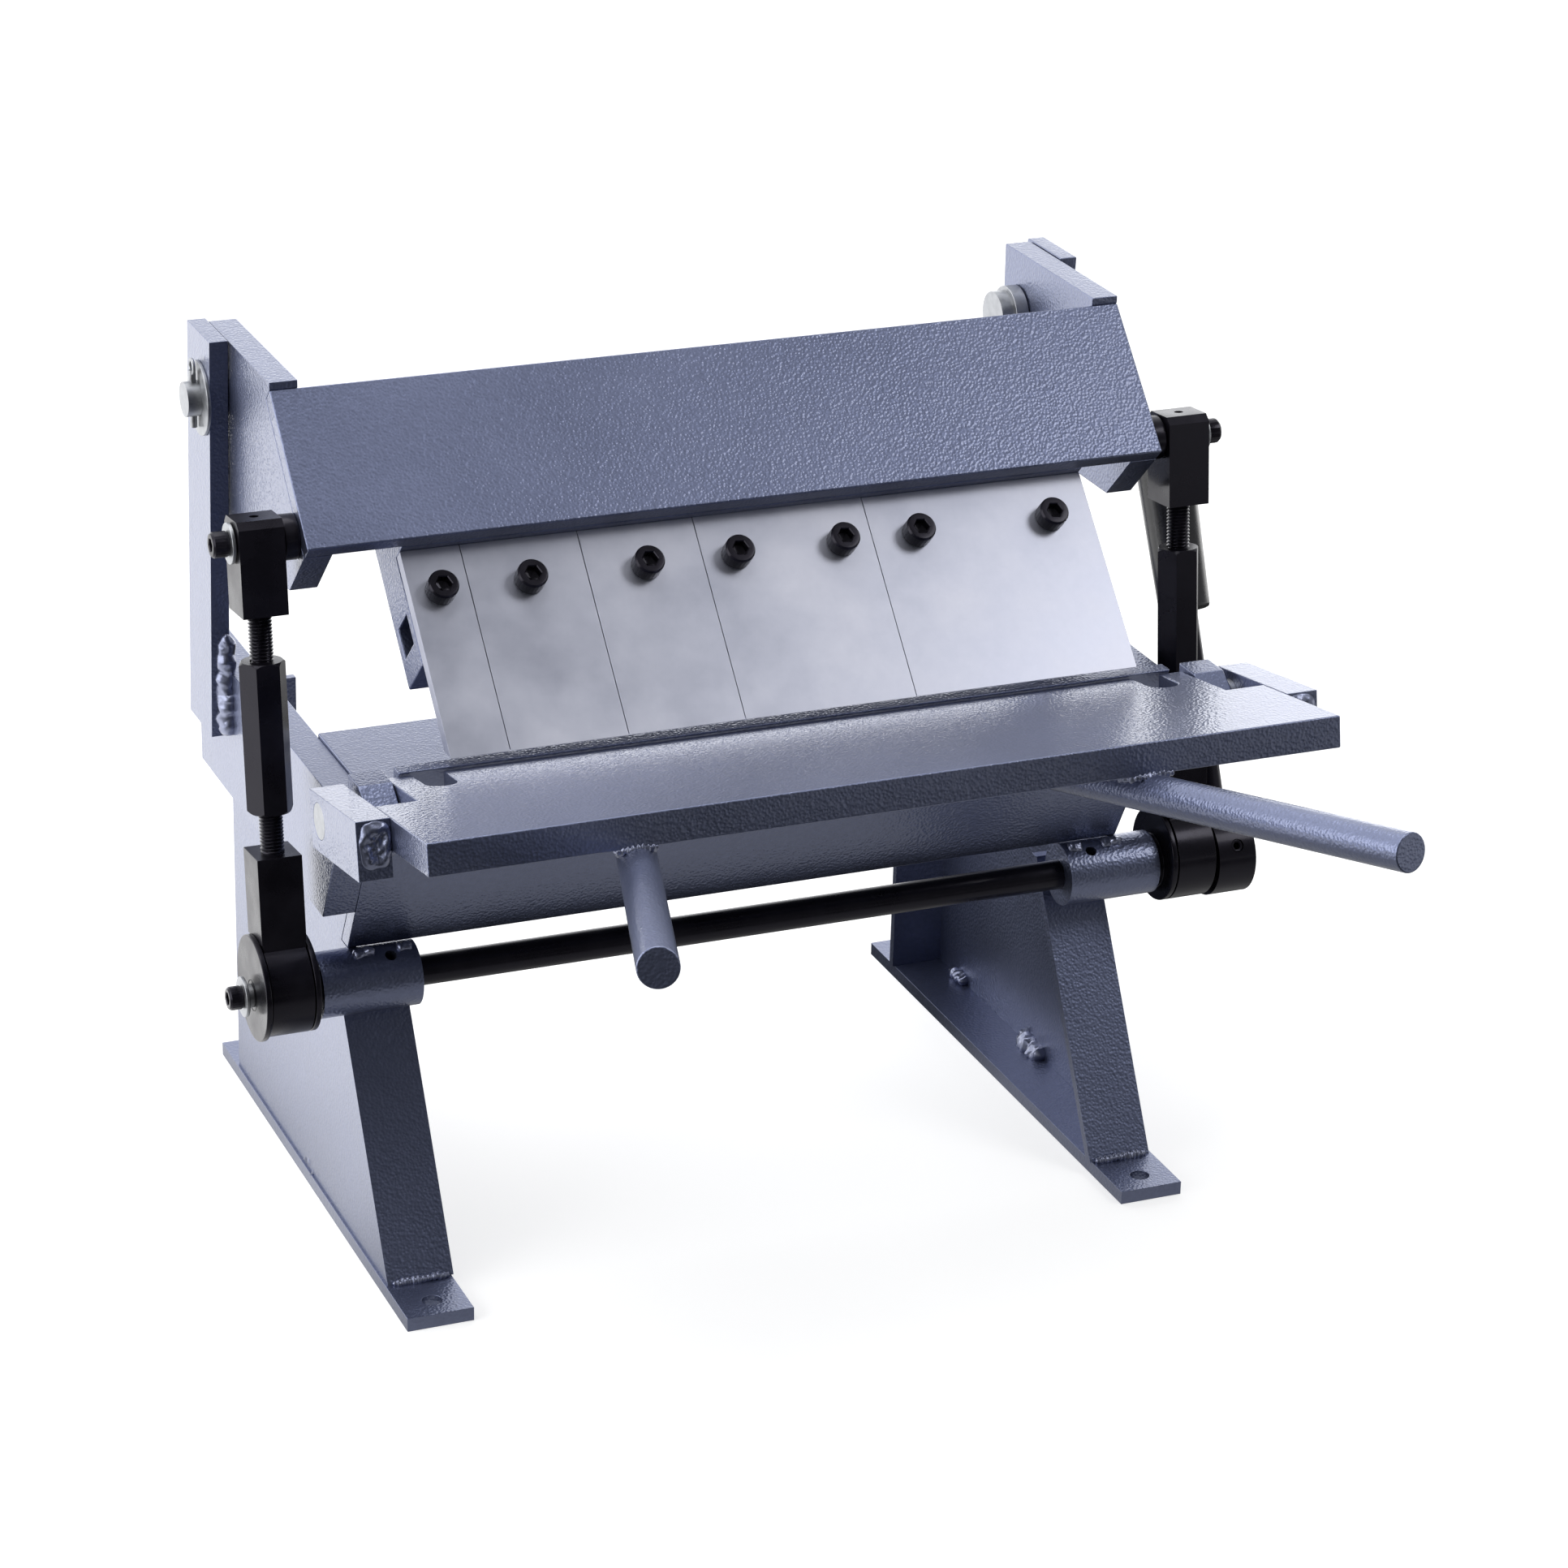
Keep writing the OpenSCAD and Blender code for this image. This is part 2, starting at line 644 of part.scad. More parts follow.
// Boss on the outer face of an arm
module link_boss() {
    difference() {
        bar_x(arm_out_x, boss_out_x, -link_y, link_z, boss_d);
        bar_x(arm_out_x - over, boss_out_x + over, -link_y, link_z, link_screw_d);
    }
}

// Cap screw on which a link turns
module link_screw() {
    translate([block_out_x + side_gap + washer_t, -link_y, link_z]) rotate([0, 90, 0])
        cap_screw(link_head_d, link_head_h, link_screw_d,
            block_out_x + side_gap + washer_t - arm_in_x, screw_key_w);
}

// Washer under the head of a link screw
module link_washer() {
    difference() {
        bar_x(block_out_x + side_gap, block_out_x + side_gap + washer_t, -link_y, link_z, link_washer_d);
        bar_x(block_out_x, block_out_x + side_gap + washer_t + over, -link_y, link_z, link_screw_d);
    }
}

// Places the leaf pieces on the hinge axis in the rest position
module leaf_place() {
    translate([0, -hinge_y, hinge_z]) rotate([-leaf_rest_tilt, 0, 0]) children();
}

// Bending leaf with its ear slots and the two reliefs in the rear edge
module leaf_plate() {
    color([0.62, 0.63, 0.72]) leaf_place() translate([0, 0, leaf_top_v - leaf_t]) linear_extrude(leaf_t)
        difference() {
            union() {
                translate([-leaf_x, -leaf_front_u]) square([2 * leaf_x, leaf_front_u - ear_slot_u]);
                translate([-slot_in_x, -ear_slot_u - over])
                    square([2 * slot_in_x, ear_slot_u + leaf_rear_u + over]);
            }
            for (side = [-1, 1])
                translate([side * (leaf_x - relief_inset - relief_w / 2), relief_w / 2 - relief_u]) {
                    circle(d = relief_w);
                    translate([-relief_w / 2, 0]) square([relief_w, leaf_rear_u + relief_u]);
                }
        }
}

// Hinge cheek at one end of the leaf
module cheek() {
    leaf_place() difference() {
        along_x(cheek_in_x, cheek_out_x)
            polygon([[-cheek_front_u, leaf_top_v - cheek_h], [cheek_rear_u, leaf_top_v - cheek_h],
                [cheek_rear_u, leaf_top_v], [-cheek_front_u, leaf_top_v]]);
        bar_x(cheek_in_x - over, cheek_out_x + over, 0, 0, hinge_pin_d);
    }
}

// Hinge pin held in a cheek, turning in the ear
module hinge_pin() {
    leaf_place() bar_x(hinge_pin_in_x, cheek_out_x, 0, 0, hinge_pin_d);
}

// Handle bar under the leaf, splayed outward
module handle() {
    leaf_place() translate([handle_x, -leaf_front_u, handle_v]) rotate([90, 0, handle_splay])
        translate([0, 0, -handle_root_l]) cylinder(h = handle_root_l + handle_free_l, d = handle_d);
}

// Shaft across the machine with a tapped hole in its left end
module cam_shaft() {
    color([0.13, 0.13, 0.14]) difference() {
        bar_x(-drum_out_x - flange_t, hub_out_x, -shaft_y, shaft_z, shaft_d);
        bar_x(-drum_out_x - flange_t - over, -housing_out_x, -shaft_y, shaft_z, end_screw_d);
    }
}

// Eccentric drum with a collar and a flange towards the housing, and on the left a flange outside
module eccentric(outer_flange) {
    difference() {
        union() {
            bar_x(drum_in_x - flange_t, drum_out_x, -cam_y, cam_z, drum_d);
            bar_x(drum_in_x - flange_t, drum_in_x, -cam_y, cam_z, strap_d);
            bar_x(housing_out_x + side_gap, drum_in_x, -shaft_y, shaft_z, collar_d);
            if (outer_flange) bar_x(drum_out_x, drum_out_x + flange_t, -cam_y, cam_z, flange_d);
        }
        bar_x(housing_out_x - over, drum_out_x + flange_t + over, -shaft_y, shaft_z, shaft_d);
    }
}

// Washer and spacer boss at the left shaft end
module end_washer() {
    color([0.75, 0.75, 0.76]) left_side() difference() {
        union() {
            bar_x(drum_out_x + flange_t, drum_out_x + flange_t + end_boss_l, -shaft_y, shaft_z, end_head_d);
            bar_x(drum_out_x + flange_t + end_boss_l, drum_out_x + flange_t + end_boss_l + washer_t,
                -shaft_y, shaft_z, end_washer_d);
        }
        bar_x(drum_out_x, drum_out_x + flange_t + end_boss_l + washer_t + over, -shaft_y, shaft_z,
            end_screw_d);
    }
}

// Screw at the left shaft end
module end_screw() {
    seat_x = drum_out_x + flange_t + end_boss_l + washer_t;
    color([0.12, 0.12, 0.13]) left_side() translate([seat_x, -shaft_y, shaft_z]) rotate([0, 90, 0])
        cap_screw(end_head_d, end_head_h, end_screw_d, seat_x - housing_out_x, end_head_d / 2);
}

// Places the lever pieces on the shaft axis, leaning back
module lever_place() {
    translate([(hub_in_x + hub_out_x) / 2, -shaft_y, shaft_z])
        rotate([-lever_lean, lever_splay, 0]) children();
}

// Lever hub on the right shaft end
module lever_hub() {
    color([0.14, 0.14, 0.15]) difference() {
        bar_x(hub_in_x, hub_out_x, -shaft_y, shaft_z, hub_d);
        bar_x(hub_in_x - over, hub_out_x + over, -shaft_y, shaft_z, shaft_d);
        lever_place() translate([0, 0, shaft_d / 2]) cylinder(h = hub_d, d = lever_d);
        lever_place() rotate([90, 0, 0]) cylinder(h = hub_d, d = hub_screw_d);
    }
}

// Set screw that holds the hub on the shaft
module hub_screw() {
    color([0.1, 0.1, 0.11]) lever_place() rotate([90, 0, 0]) translate([0, 0, shaft_d / 2])
        difference() {
            cylinder(h = (hub_d - shaft_d) / 2 - side_gap, d = hub_screw_d);
            translate([0, 0, (hub_d - shaft_d) / 4])
                cylinder(h = hub_d, d = hub_screw_d / 2 / cos(30), $fn = 6);
        }
}

// Lever bar from the hub into the grip
module lever_bar() {
    color([0.16, 0.16, 0.17]) lever_place()
        translate([0, 0, shaft_d / 2]) cylinder(h = grip_start + grip_l / 2 - shaft_d / 2, d = lever_d);
}

// Moulded grip, thicker at its upper end and rounded over
module lever_grip() {
    cap_h = grip_top_d / 4;
    color([0.08, 0.08, 0.09]) lever_place() difference() {
        union() {
            translate([0, 0, grip_start]) cylinder(h = grip_l - cap_h, d1 = grip_low_d, d2 = grip_top_d);
            translate([0, 0, grip_start + grip_l - cap_h])
                cylinder(h = cap_h, d1 = grip_top_d, d2 = grip_top_d / 2);
        }
        translate([0, 0, grip_start - over]) cylinder(h = grip_l / 2 + over, d = lever_d);
    }
}

// Places the link pieces on the upper link axis, with Z pointing down the link
module link_place() {
    translate([link_x, -link_y, link_z]) rotate([-link_lean, 0, 0]) mirror([0, 0, 1]) children();
}

// Upper block that turns on its link screw
module link_block() {
    half_depth = block_depth / 2;
    link_place() difference() {
        along_x(-block_w / 2, block_w / 2)
            polygon([[-half_depth, block_drop], [half_depth, block_drop],
                [half_depth, block_bevel - block_rise], [half_depth - block_bevel, -block_rise],
                [block_bevel - half_depth, -block_rise], [-half_depth, block_bevel - block_rise]]);
        bar_x(-block_w / 2 - over, block_w / 2 + over, 0, 0, link_screw_d + 2 * run_fit);
        translate([0, 0, -block_rise - over]) cylinder(h = block_rise + over, d = block_hole_d);
    }
}

// Threaded stud of the upper block
module upper_stud() {
    link_place() translate([0, 0, block_drop]) cylinder(h = nut_start + stud_grip - block_drop, d = stud_d);
}

// Threaded stud of the strap block
module lower_stud() {
    link_place() translate([0, 0, nut_start + nut_l - stud_grip])
        cylinder(h = low_block_start - nut_start - nut_l + stud_grip, d = stud_d);
}

// Six-sided coupling nut with bevelled ends
module coupling_nut() {
    bevel = nut_corner_r - nut_flat_r;
    link_place() translate([0, 0, nut_start]) difference() {
        intersection() {
            cylinder(h = nut_l, r = nut_corner_r, $fn = 6);
            rotate_extrude()
                polygon([[0, 0], [nut_flat_r, 0], [nut_corner_r, bevel], [nut_corner_r, nut_l - bevel],
                    [nut_flat_r, nut_l], [0, nut_l]]);
        }
        translate([0, 0, -over]) cylinder(h = nut_l + 2 * over, d = stud_d + 2 * thread_fit);
    }
}

// Strap block with the ring that runs on the eccentric
module strap() {
    link_place() difference() {
        union() {
            translate([-block_w / 2, -block_depth / 2, low_block_start])
                cube([block_w, block_depth, low_block_h]);
            translate([-strap_w / 2, -block_depth / 2, low_block_start])
                cube([strap_w, block_depth, low_block_h + strap_d / 2]);
            bar_x(-strap_w / 2, strap_w / 2, 0, link_l, strap_d);
        }
        bar_x(-block_w / 2 - over, block_w / 2 + over, 0, link_l, strap_bore_d);
    }
}

// Builds its children on both sides
module pair() {
    children();
    left_side() children();
}

// Paint colour of the welded frame
module painted() {
    color([0.4, 0.42, 0.53]) children();
}

// Colour of the blackened steel pieces
module blackened() {
    color([0.13, 0.13, 0.14]) children();
}

// Colour of the plated pins and washers
module plated() {
    color([0.74, 0.74, 0.76]) children();
}

painted() left_side() foot();  // foot_left
painted() foot();  // foot_right
painted() left_side() stand();  // stand_left
painted() stand();  // stand_right
painted() left_side() side_plate();  // side_plate_left
painted() side_plate();  // side_plate_right
painted() left_side() column();  // column_left
painted() column();  // column_right
bed_top();
bed_front();
painted() left_side() housing();  // housing_left
painted() housing();  // housing_right
plated() pair() pivot_pin();  // pivot_pins
plated() pair() pivot_washer();  // pivot_washers
plated() pair() cotter();  // cotter_pins
plated() pair() pivot_collar();  // pivot_collars
painted() left_side() arm();  // arm_left
painted() arm();  // arm_right
clamp_beam();
backing_bar();
finger(0, 1);  // finger_1
finger(1, 2);  // finger_2
finger(3, 2);  // finger_3
finger(5, 3);  // finger_4
finger(8, 4);  // finger_5
finger_screws();
painted() pair() link_boss();  // link_bosses
blackened() pair() link_screw();  // link_screws
plated() pair() link_washer();  // link_washers
leaf_plate();
painted() left_side() cheek();  // cheek_left
painted() cheek();  // cheek_right
plated() pair() hinge_pin();  // hinge_pins
painted() left_side() handle();  // handle_left
painted() handle();  // handle_right
cam_shaft();
plated() left_side() eccentric(true);  // eccentric_left
blackened() eccentric(false);  // eccentric_right
end_screw();
end_washer();
lever_hub();
hub_screw();
lever_bar();
lever_grip();
blackened() left_side() link_block();  // link_block_left
blackened() link_block();  // link_block_right
blackened() left_side() upper_stud();  // upper_stud_left
blackened() upper_stud();  // upper_stud_right
blackened() left_side() lower_stud();  // lower_stud_left
blackened() lower_stud();  // lower_stud_right
blackened() left_side() strap();  // strap_left
blackened() strap();  // strap_right
blackened() left_side() coupling_nut();  // coupling_nut_left
blackened() coupling_nut();  // coupling_nut_right
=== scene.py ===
import json
import math

import bmesh
import bpy
from mathutils import Matrix, Vector, noise


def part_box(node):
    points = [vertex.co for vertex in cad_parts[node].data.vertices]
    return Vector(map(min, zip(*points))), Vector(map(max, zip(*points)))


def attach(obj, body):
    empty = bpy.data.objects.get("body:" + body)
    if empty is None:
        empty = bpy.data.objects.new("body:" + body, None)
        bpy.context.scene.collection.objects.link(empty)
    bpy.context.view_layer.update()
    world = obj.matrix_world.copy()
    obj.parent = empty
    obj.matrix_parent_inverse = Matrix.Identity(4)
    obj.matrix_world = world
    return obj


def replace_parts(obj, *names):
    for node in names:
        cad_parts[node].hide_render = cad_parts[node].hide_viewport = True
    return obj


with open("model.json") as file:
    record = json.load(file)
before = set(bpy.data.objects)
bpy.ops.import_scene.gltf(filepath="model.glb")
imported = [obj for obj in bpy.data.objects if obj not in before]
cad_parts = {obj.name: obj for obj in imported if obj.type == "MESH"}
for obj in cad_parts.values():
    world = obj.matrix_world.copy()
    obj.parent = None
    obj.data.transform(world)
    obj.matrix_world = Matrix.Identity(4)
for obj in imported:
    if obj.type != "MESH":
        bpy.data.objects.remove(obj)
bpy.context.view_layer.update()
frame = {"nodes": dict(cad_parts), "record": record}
nodes = frame["nodes"]
MM = 0.001
WHITE = (1, 1, 1, 1)

# Materials. Every pattern is made from object coordinates, which are metres on this part.


def new_material(name):
    mat = bpy.data.materials.new(name)
    mat.use_nodes = True
    tree = mat.node_tree
    tree.nodes.clear()
    out = tree.nodes.new("ShaderNodeOutputMaterial")
    shader = tree.nodes.new("ShaderNodeBsdfPrincipled")
    tree.links.new(shader.outputs[0], out.inputs[0])
    return mat, tree, shader


def coords(tree, scale=(1, 1, 1)):
    source = tree.nodes.new("ShaderNodeTexCoord")
    mapping = tree.nodes.new("ShaderNodeMapping")
    mapping.inputs["Scale"].default_value = scale
    tree.links.new(source.outputs["Object"], mapping.inputs["Vector"])
    return mapping.outputs[0]


def noise_node(tree, vector, scale, detail=2.0, rough=0.5):
    node = tree.nodes.new("ShaderNodeTexNoise")
    node.inputs["Scale"].default_value = scale
    node.inputs["Detail"].default_value = detail
    node.inputs["Roughness"].default_value = rough
    tree.links.new(vector, node.inputs["Vector"])
    return node.outputs["Fac"]


def ramp(tree, value, stops):
    """Colour ramp with the given stops, each a place from 0 to 1 and a colour."""
    node = tree.nodes.new("ShaderNodeValToRGB")
    while len(node.color_ramp.elements) < len(stops):
        node.color_ramp.elements.new(0.5)
    for element, (place, colour) in zip(node.color_ramp.elements, stops):
        element.position = place
        element.color = (*colour, 1)
    tree.links.new(value, node.inputs[0])
    return node.outputs[0]


def grey(value):
    return (value, value, value)


def bump(tree, shader, height, distance, strength, previous=None):
    node = tree.nodes.new("ShaderNodeBump")
    node.inputs["Distance"].default_value = distance
    node.inputs["Strength"].default_value = strength
    tree.links.new(height, node.inputs["Height"])
    if previous is not None:
        tree.links.new(previous, node.inputs["Normal"])
    tree.links.new(node.outputs[0], shader.inputs["Normal"])
    return node.outputs[0]


def math_node(tree, operation, first, second=0.0, third=0.0):
    node = tree.nodes.new("ShaderNodeMath")
    node.operation = operation
    for index, value in enumerate((first, second, third)):
        if isinstance(value, float):
            node.inputs[index].default_value = value
        else:
            tree.links.new(value, node.inputs[index])
    return node.outputs[0]


def span_node(tree, value, low, high, amount=1.0):
    """Smooth step from 0 at low to amount at high."""
    node = tree.nodes.new("ShaderNodeMapRange")
    node.interpolation_type = "SMOOTHSTEP"
    node.inputs["From Min"].default_value = low
    node.inputs["From Max"].default_value = high
    node.inputs["To Min"].default_value = 0.0
    node.inputs["To Max"].default_value = amount
    tree.links.new(value, node.inputs["Value"])
    return node.outputs["Result"]


def mix_by_ray(tree, ray, usual, for_ray, out):
    """Show one shader to one kind of ray and the usual shader to all others."""
    mix = tree.nodes.new("ShaderNodeMixShader")
    tree.links.new(ray, mix.inputs[0])
    tree.links.new(usual, mix.inputs[1])
    tree.links.new(for_ray, mix.inputs[2])
    tree.links.new(mix.outputs[0], out.inputs[0])


def hammertone(name, dark, light, dimple=0.0002, scale=820, rough=0.4, coat_rough=0.07):
    """Glossy blue-grey enamel with the small dimples of a hammered finish and a faint mottle."""
    mat, tree, shader = new_material(name)
    vector = coords(tree)
    cells = tree.nodes.new("ShaderNodeTexVoronoi")
    cells.feature = "SMOOTH_F1"
    cells.inputs["Scale"].default_value = scale
    cells.inputs["Smoothness"].default_value = 0.7
    tree.links.new(vector, cells.inputs["Vector"])
    broad = noise_node(tree, vector, scale=11, detail=4, rough=0.55)
    mottle = noise_node(tree, vector, scale=420)
    base = ramp(tree, broad, [(0.3, dark), (0.7, light)])
    spots = ramp(tree, mottle, [(0.35, grey(0.95)), (0.7, grey(1.04))])
    mix = tree.nodes.new("ShaderNodeMix")
    mix.data_type = "RGBA"
    mix.blend_type = "MULTIPLY"
    mix.inputs["Factor"].default_value = 1.0
    tree.links.new(base, mix.inputs["A"])
    tree.links.new(spots, mix.inputs["B"])
    tree.links.new(mix.outputs["Result"], shader.inputs["Base Color"])
    roughness = ramp(tree, broad, [(0.2, grey(rough - 0.05)), (0.8, grey(rough + 0.06))])
    tree.links.new(roughness, shader.inputs["Roughness"])
    shader.inputs["Metallic"].default_value = 0.95
    shader.inputs["Coat Weight"].default_value = 0.6
    shader.inputs["Coat Roughness"].default_value = coat_rough
    wave = noise_node(tree, vector, scale=60)
    waved = bump(tree, shader, wave, distance=0.00025, strength=0.35)
    dimpled = bump(tree, shader, cells.outputs["Distance"], distance=dimple, strength=0.8, previous=waved)
    tree.links.new(dimpled, shader.inputs["Coat Normal"])
    return mat


def ground_steel(name):
    """Bright ground steel with a satin cloud, faint grinding lines and a few darker stains."""
    mat, tree, shader = new_material(name)
    lines = noise_node(tree, coords(tree, (14, 1100, 1100)), scale=1.0, detail=3, rough=0.6)
    cloud = noise_node(tree, coords(tree), scale=24, detail=5, rough=0.6)
    stained, plain, bright = (0.38, 0.395, 0.48), (0.47, 0.485, 0.57), (0.56, 0.57, 0.65)
    colour = ramp(tree, cloud, [(0.25, stained), (0.5, plain), (0.75, bright)])
    tree.links.new(colour, shader.inputs["Base Color"])
    roughness = ramp(tree, cloud, [(0.25, grey(0.3)), (0.75, grey(0.42))])
    tree.links.new(roughness, shader.inputs["Roughness"])
    shader.inputs["Metallic"].default_value = 0.85
    bump(tree, shader, lines, distance=0.000006, strength=0.5)
    return mat


def black_oxide(name, base=0.0032, rough=0.26):
    """Blackened steel with a little oil and slightly lighter worn patches."""
    mat, tree, shader = new_material(name)
    vector = coords(tree)
    cloud = noise_node(tree, vector, scale=55, detail=5)
    fine = noise_node(tree, vector, scale=900)
    fresh, worn = (base, base * 0.9, base * 1.4), (base * 2.2, base * 2.0, base * 3.0)
    colour = ramp(tree, cloud, [(0.4, fresh), (0.8, worn)])
    tree.links.new(colour, shader.inputs["Base Color"])
    roughness = ramp(tree, cloud, [(0.3, grey(rough - 0.06)), (0.75, grey(rough + 0.16))])
    tree.links.new(roughness, shader.inputs["Roughness"])
    shader.inputs["Metallic"].default_value = 0.0
    shader.inputs["Specular IOR Level"].default_value = 0.25
    shader.inputs["Specular Tint"].default_value = (0.8, 0.76, 1.0, 1)
    shader.inputs["Coat Weight"].default_value = 0.12
    shader.inputs["Coat Roughness"].default_value = 0.12
    bump(tree, shader, fine, distance=0.00003, strength=0.4)
    return mat


def plated(name):
    """Zinc plate with soft spangle and light rub marks."""
    mat, tree, shader = new_material(name)
    cloud = noise_node(tree, coords(tree), scale=250, detail=4)
    colour = ramp(tree, cloud, [(0.3, (0.3, 0.31, 0.33)), (0.7, (0.44, 0.45, 0.47))])
    tree.links.new(colour, shader.inputs["Base Color"])
    roughness = ramp(tree, cloud, [(0.3, grey(0.34)), (0.7, grey(0.5))])
    tree.links.new(roughness, shader.inputs["Roughness"])
    shader.inputs["Metallic"].default_value = 1.0
    bump(tree, shader, cloud, distance=0.00004, strength=0.4)
    return mat


def plastic(name):
    """Smooth black moulded grip with a trace of orange peel and dust."""
    mat, tree, shader = new_material(name)
    vector = coords(tree)
    cloud = noise_node(tree, vector, scale=90, detail=4)
    colour = ramp(tree, cloud, [(0.4, (0.011, 0.011, 0.013)), (0.8, (0.03, 0.03, 0.034))])
    tree.links.new(colour, shader.inputs["Base Color"])
    roughness = ramp(tree, cloud, [(0.3, grey(0.2)), (0.75, grey(0.34))])
    tree.links.new(roughness, shader.inputs["Roughness"])
    peel = noise_node(tree, vector, scale=700)
    bump(tree, shader, peel, distance=0.00005, strength=0.4)
    return mat


PAINT = hammertone("paint", dark=(0.148, 0.17, 0.27), light=(0.176, 0.2, 0.31))
# The weld beads wear the same paint. Here it is made lighter as a painted highlight, with bigger dimples and
# a glossier coat.
PAINT_WELD_HIGHLIT = hammertone("paint_weld_highlit", dark=(0.17, 0.19, 0.29), light=(0.26, 0.28, 0.38), dimple=0.0003,
                        scale=380, rough=0.34, coat_rough=0.05)
STEEL = ground_steel("ground_steel")
BLACK = black_oxide("black_oxide")
ZINC = plated("zinc_plate")
PLASTIC = plastic("grip_plastic")
BY_SLOT = {"paint": PAINT, "ground_steel": STEEL, "black_oxide": BLACK, "zinc": ZINC, "grip": PLASTIC}
SLOT_OF = {row["node"]: row["material_slot"] for row in frame["record"]["subparts"]}

# Edge rounding of the solids, in millimetres and degrees. The coordinates of the solids stay as they are.

EDGE_WIDTH = {"paint": 0.7, "ground_steel": 0.25, "black_oxide": 0.5, "zinc": 0.3, "grip": 1.5}
EDGE_ANGLE = 32
EDGE_STEPS = 2
FLAT_ANGLE = 0.4
JOIN_REACH = 0.01
FACE_WEIGHT = 80
for name, obj in nodes.items():
    slot_name = SLOT_OF[name]
    obj.data.materials.clear()
    obj.data.materials.append(BLACK if name == "link_bosses" else BY_SLOT[slot_name])
    obj.data.polygons.foreach_set("use_smooth", [True] * len(obj.data.polygons))
    weld = obj.modifiers.new("join", "WELD")
    weld.merge_threshold = JOIN_REACH * MM
    flat = obj.modifiers.new("flat", "DECIMATE")
    flat.decimate_type = "DISSOLVE"
    flat.angle_limit = math.radians(FLAT_ANGLE)
    edge = obj.modifiers.new("edge", "BEVEL")
    edge.width = EDGE_WIDTH[slot_name] * MM
    edge.segments = EDGE_STEPS
    edge.limit_method = "ANGLE"
    edge.angle_limit = math.radians(EDGE_ANGLE)
    edge.use_clamp_overlap = True
    shade = obj.modifiers.new("shade", "WEIGHTED_NORMAL")
    shade.weight = FACE_WEIGHT
    shade.keep_sharp = False

# Pieces made here: weld beads, threads and socket screws. Lengths are written in millimetres.

LEAF_TILT = math.radians(9.3)
BEAM_SLOPE = math.radians(46.2)
BEAM_EDGE = Vector((0, -62.9, 317.9))
WELD_SHARP = 70
THREAD_SHARP = 60
SCREW_SHARP = 32


class Shell:
    """Points and faces of one mesh that is built from rings with equal counts of points."""

    def __init__(self):
        self.points = []
        self.faces = []

    def skin(self, rings, cap_start=True):
        count = len(rings[0])
        first = len(self.points)
        for ring in rings:
            self.points.extend(Vector(point) * MM for point in ring)
        for i in range(len(rings) - 1):
            low = first + i * count
            for k in range(count):
                after = (k + 1) % count
                self.faces.append((low + k, low + after, low + count + after, low + count + k))
        if cap_start:
            self.faces.append(tuple(first + k for k in reversed(range(count))))
        last = first + (len(rings) - 1) * count
        self.faces.append(tuple(last + k for k in range(count)))

    def make(self, name, material, body, sharp_angle):
        mesh = bpy.data.meshes.new(name)
        mesh.from_pydata(self.points, [], self.faces)
        mesh.update()
        mesh.polygons.foreach_set("use_smooth", [True] * len(mesh.polygons))
        mesh.set_sharp_from_angle(angle=math.radians(sharp_angle))
        mesh.materials.append(material)
        obj = bpy.data.objects.new(name, mesh)
        bpy.context.collection.objects.link(obj)
        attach(obj, body)
        return obj


def mirrored(point, side):
    return Vector((side * point[0], point[1], point[2]))


def cross_axes(axis):
    """Two directions square to the axis and to each other."""
    side = axis.orthogonal().normalized()
    return side, axis.cross(side)


def bead(shell, start, end, radius, ripple=0.12, lump=0.3, grain=0.3):
    """Weld bead from start to end: a tapered rope with the ripples of the arc and random lumps."""
    points = 16
    blunt = 0.03
    start, end = Vector(start), Vector(end)
    side, up = cross_axes((end - start).normalized())
    length = (end - start).length
    steps = max(10, int(length / (radius * 0.25)))
    rings = []
    for i in range(steps + 1):
        share = i / steps
        taper = math.sqrt(max(0.0, 1 - abs(2 * share - 1) ** 6)) * (1 - blunt) + blunt
        wave = 1 + ripple * math.sin(math.tau * length * share / (radius * 1.1))
        centre = start.lerp(end, share)
        ring = []
        for k in range(points):
            angle = math.tau * k / points
            out = side * math.cos(angle) + up * math.sin(angle)
            rough = 1 + lump * noise.noise((centre + out * radius) * grain)
            ring.append(centre + out * radius * taper * wave * rough)
        rings.append(ring)
    shell.skin(rings)


def weld_cap(shell, centre, out, up, half_width, half_height, thick):
    """Weld that fills a face: a lumpy ring around a shallow crater."""
    points, steps = 48, 22
    sunk = 0.6
    centre, out, up = Vector(centre), Vector(out).normalized(), Vector(up).normalized()
    side = up.cross(out)
    shares = [1.0] + [1.0 - k / steps for k in range(steps)]
    rings = []
    for i, share in enumerate(shares):
        inside = 1 - share ** 4
        ring = []
        for k in range(points):
            angle = math.tau * k / points
            around = Vector((math.cos(angle), math.sin(angle), 0.3))
            flat = side * around.x * half_width * share + up * around.y * half_height * share
            edge = 1 + 0.07 * noise.noise(around * 2)
            fill = (abs(around.x) ** 3 + abs(around.y) ** 3) ** (-1 / 3)
            crest_at = 0.7 + 0.22 * noise.noise(around * 1.3 + centre)
            crest_size = 0.75 + 0.6 * noise.noise(around * 1.7 - centre)
            crest = math.exp(-((share - crest_at) / 0.24) ** 2) * crest_size
            rise = thick * (0.3 + 0.6 * crest) * math.sqrt(max(0.0, 1 - share ** 6))
            rise += thick * 0.7 * inside * noise.noise((flat + centre) * 0.22)
            rise += thick * 0.25 * inside * noise.noise((flat + centre) * 0.8)
            ring.append(centre + flat * edge * fill + out * (rise if i else -sunk))
        rings.append(ring)
    shell.skin(rings, cap_start=False)


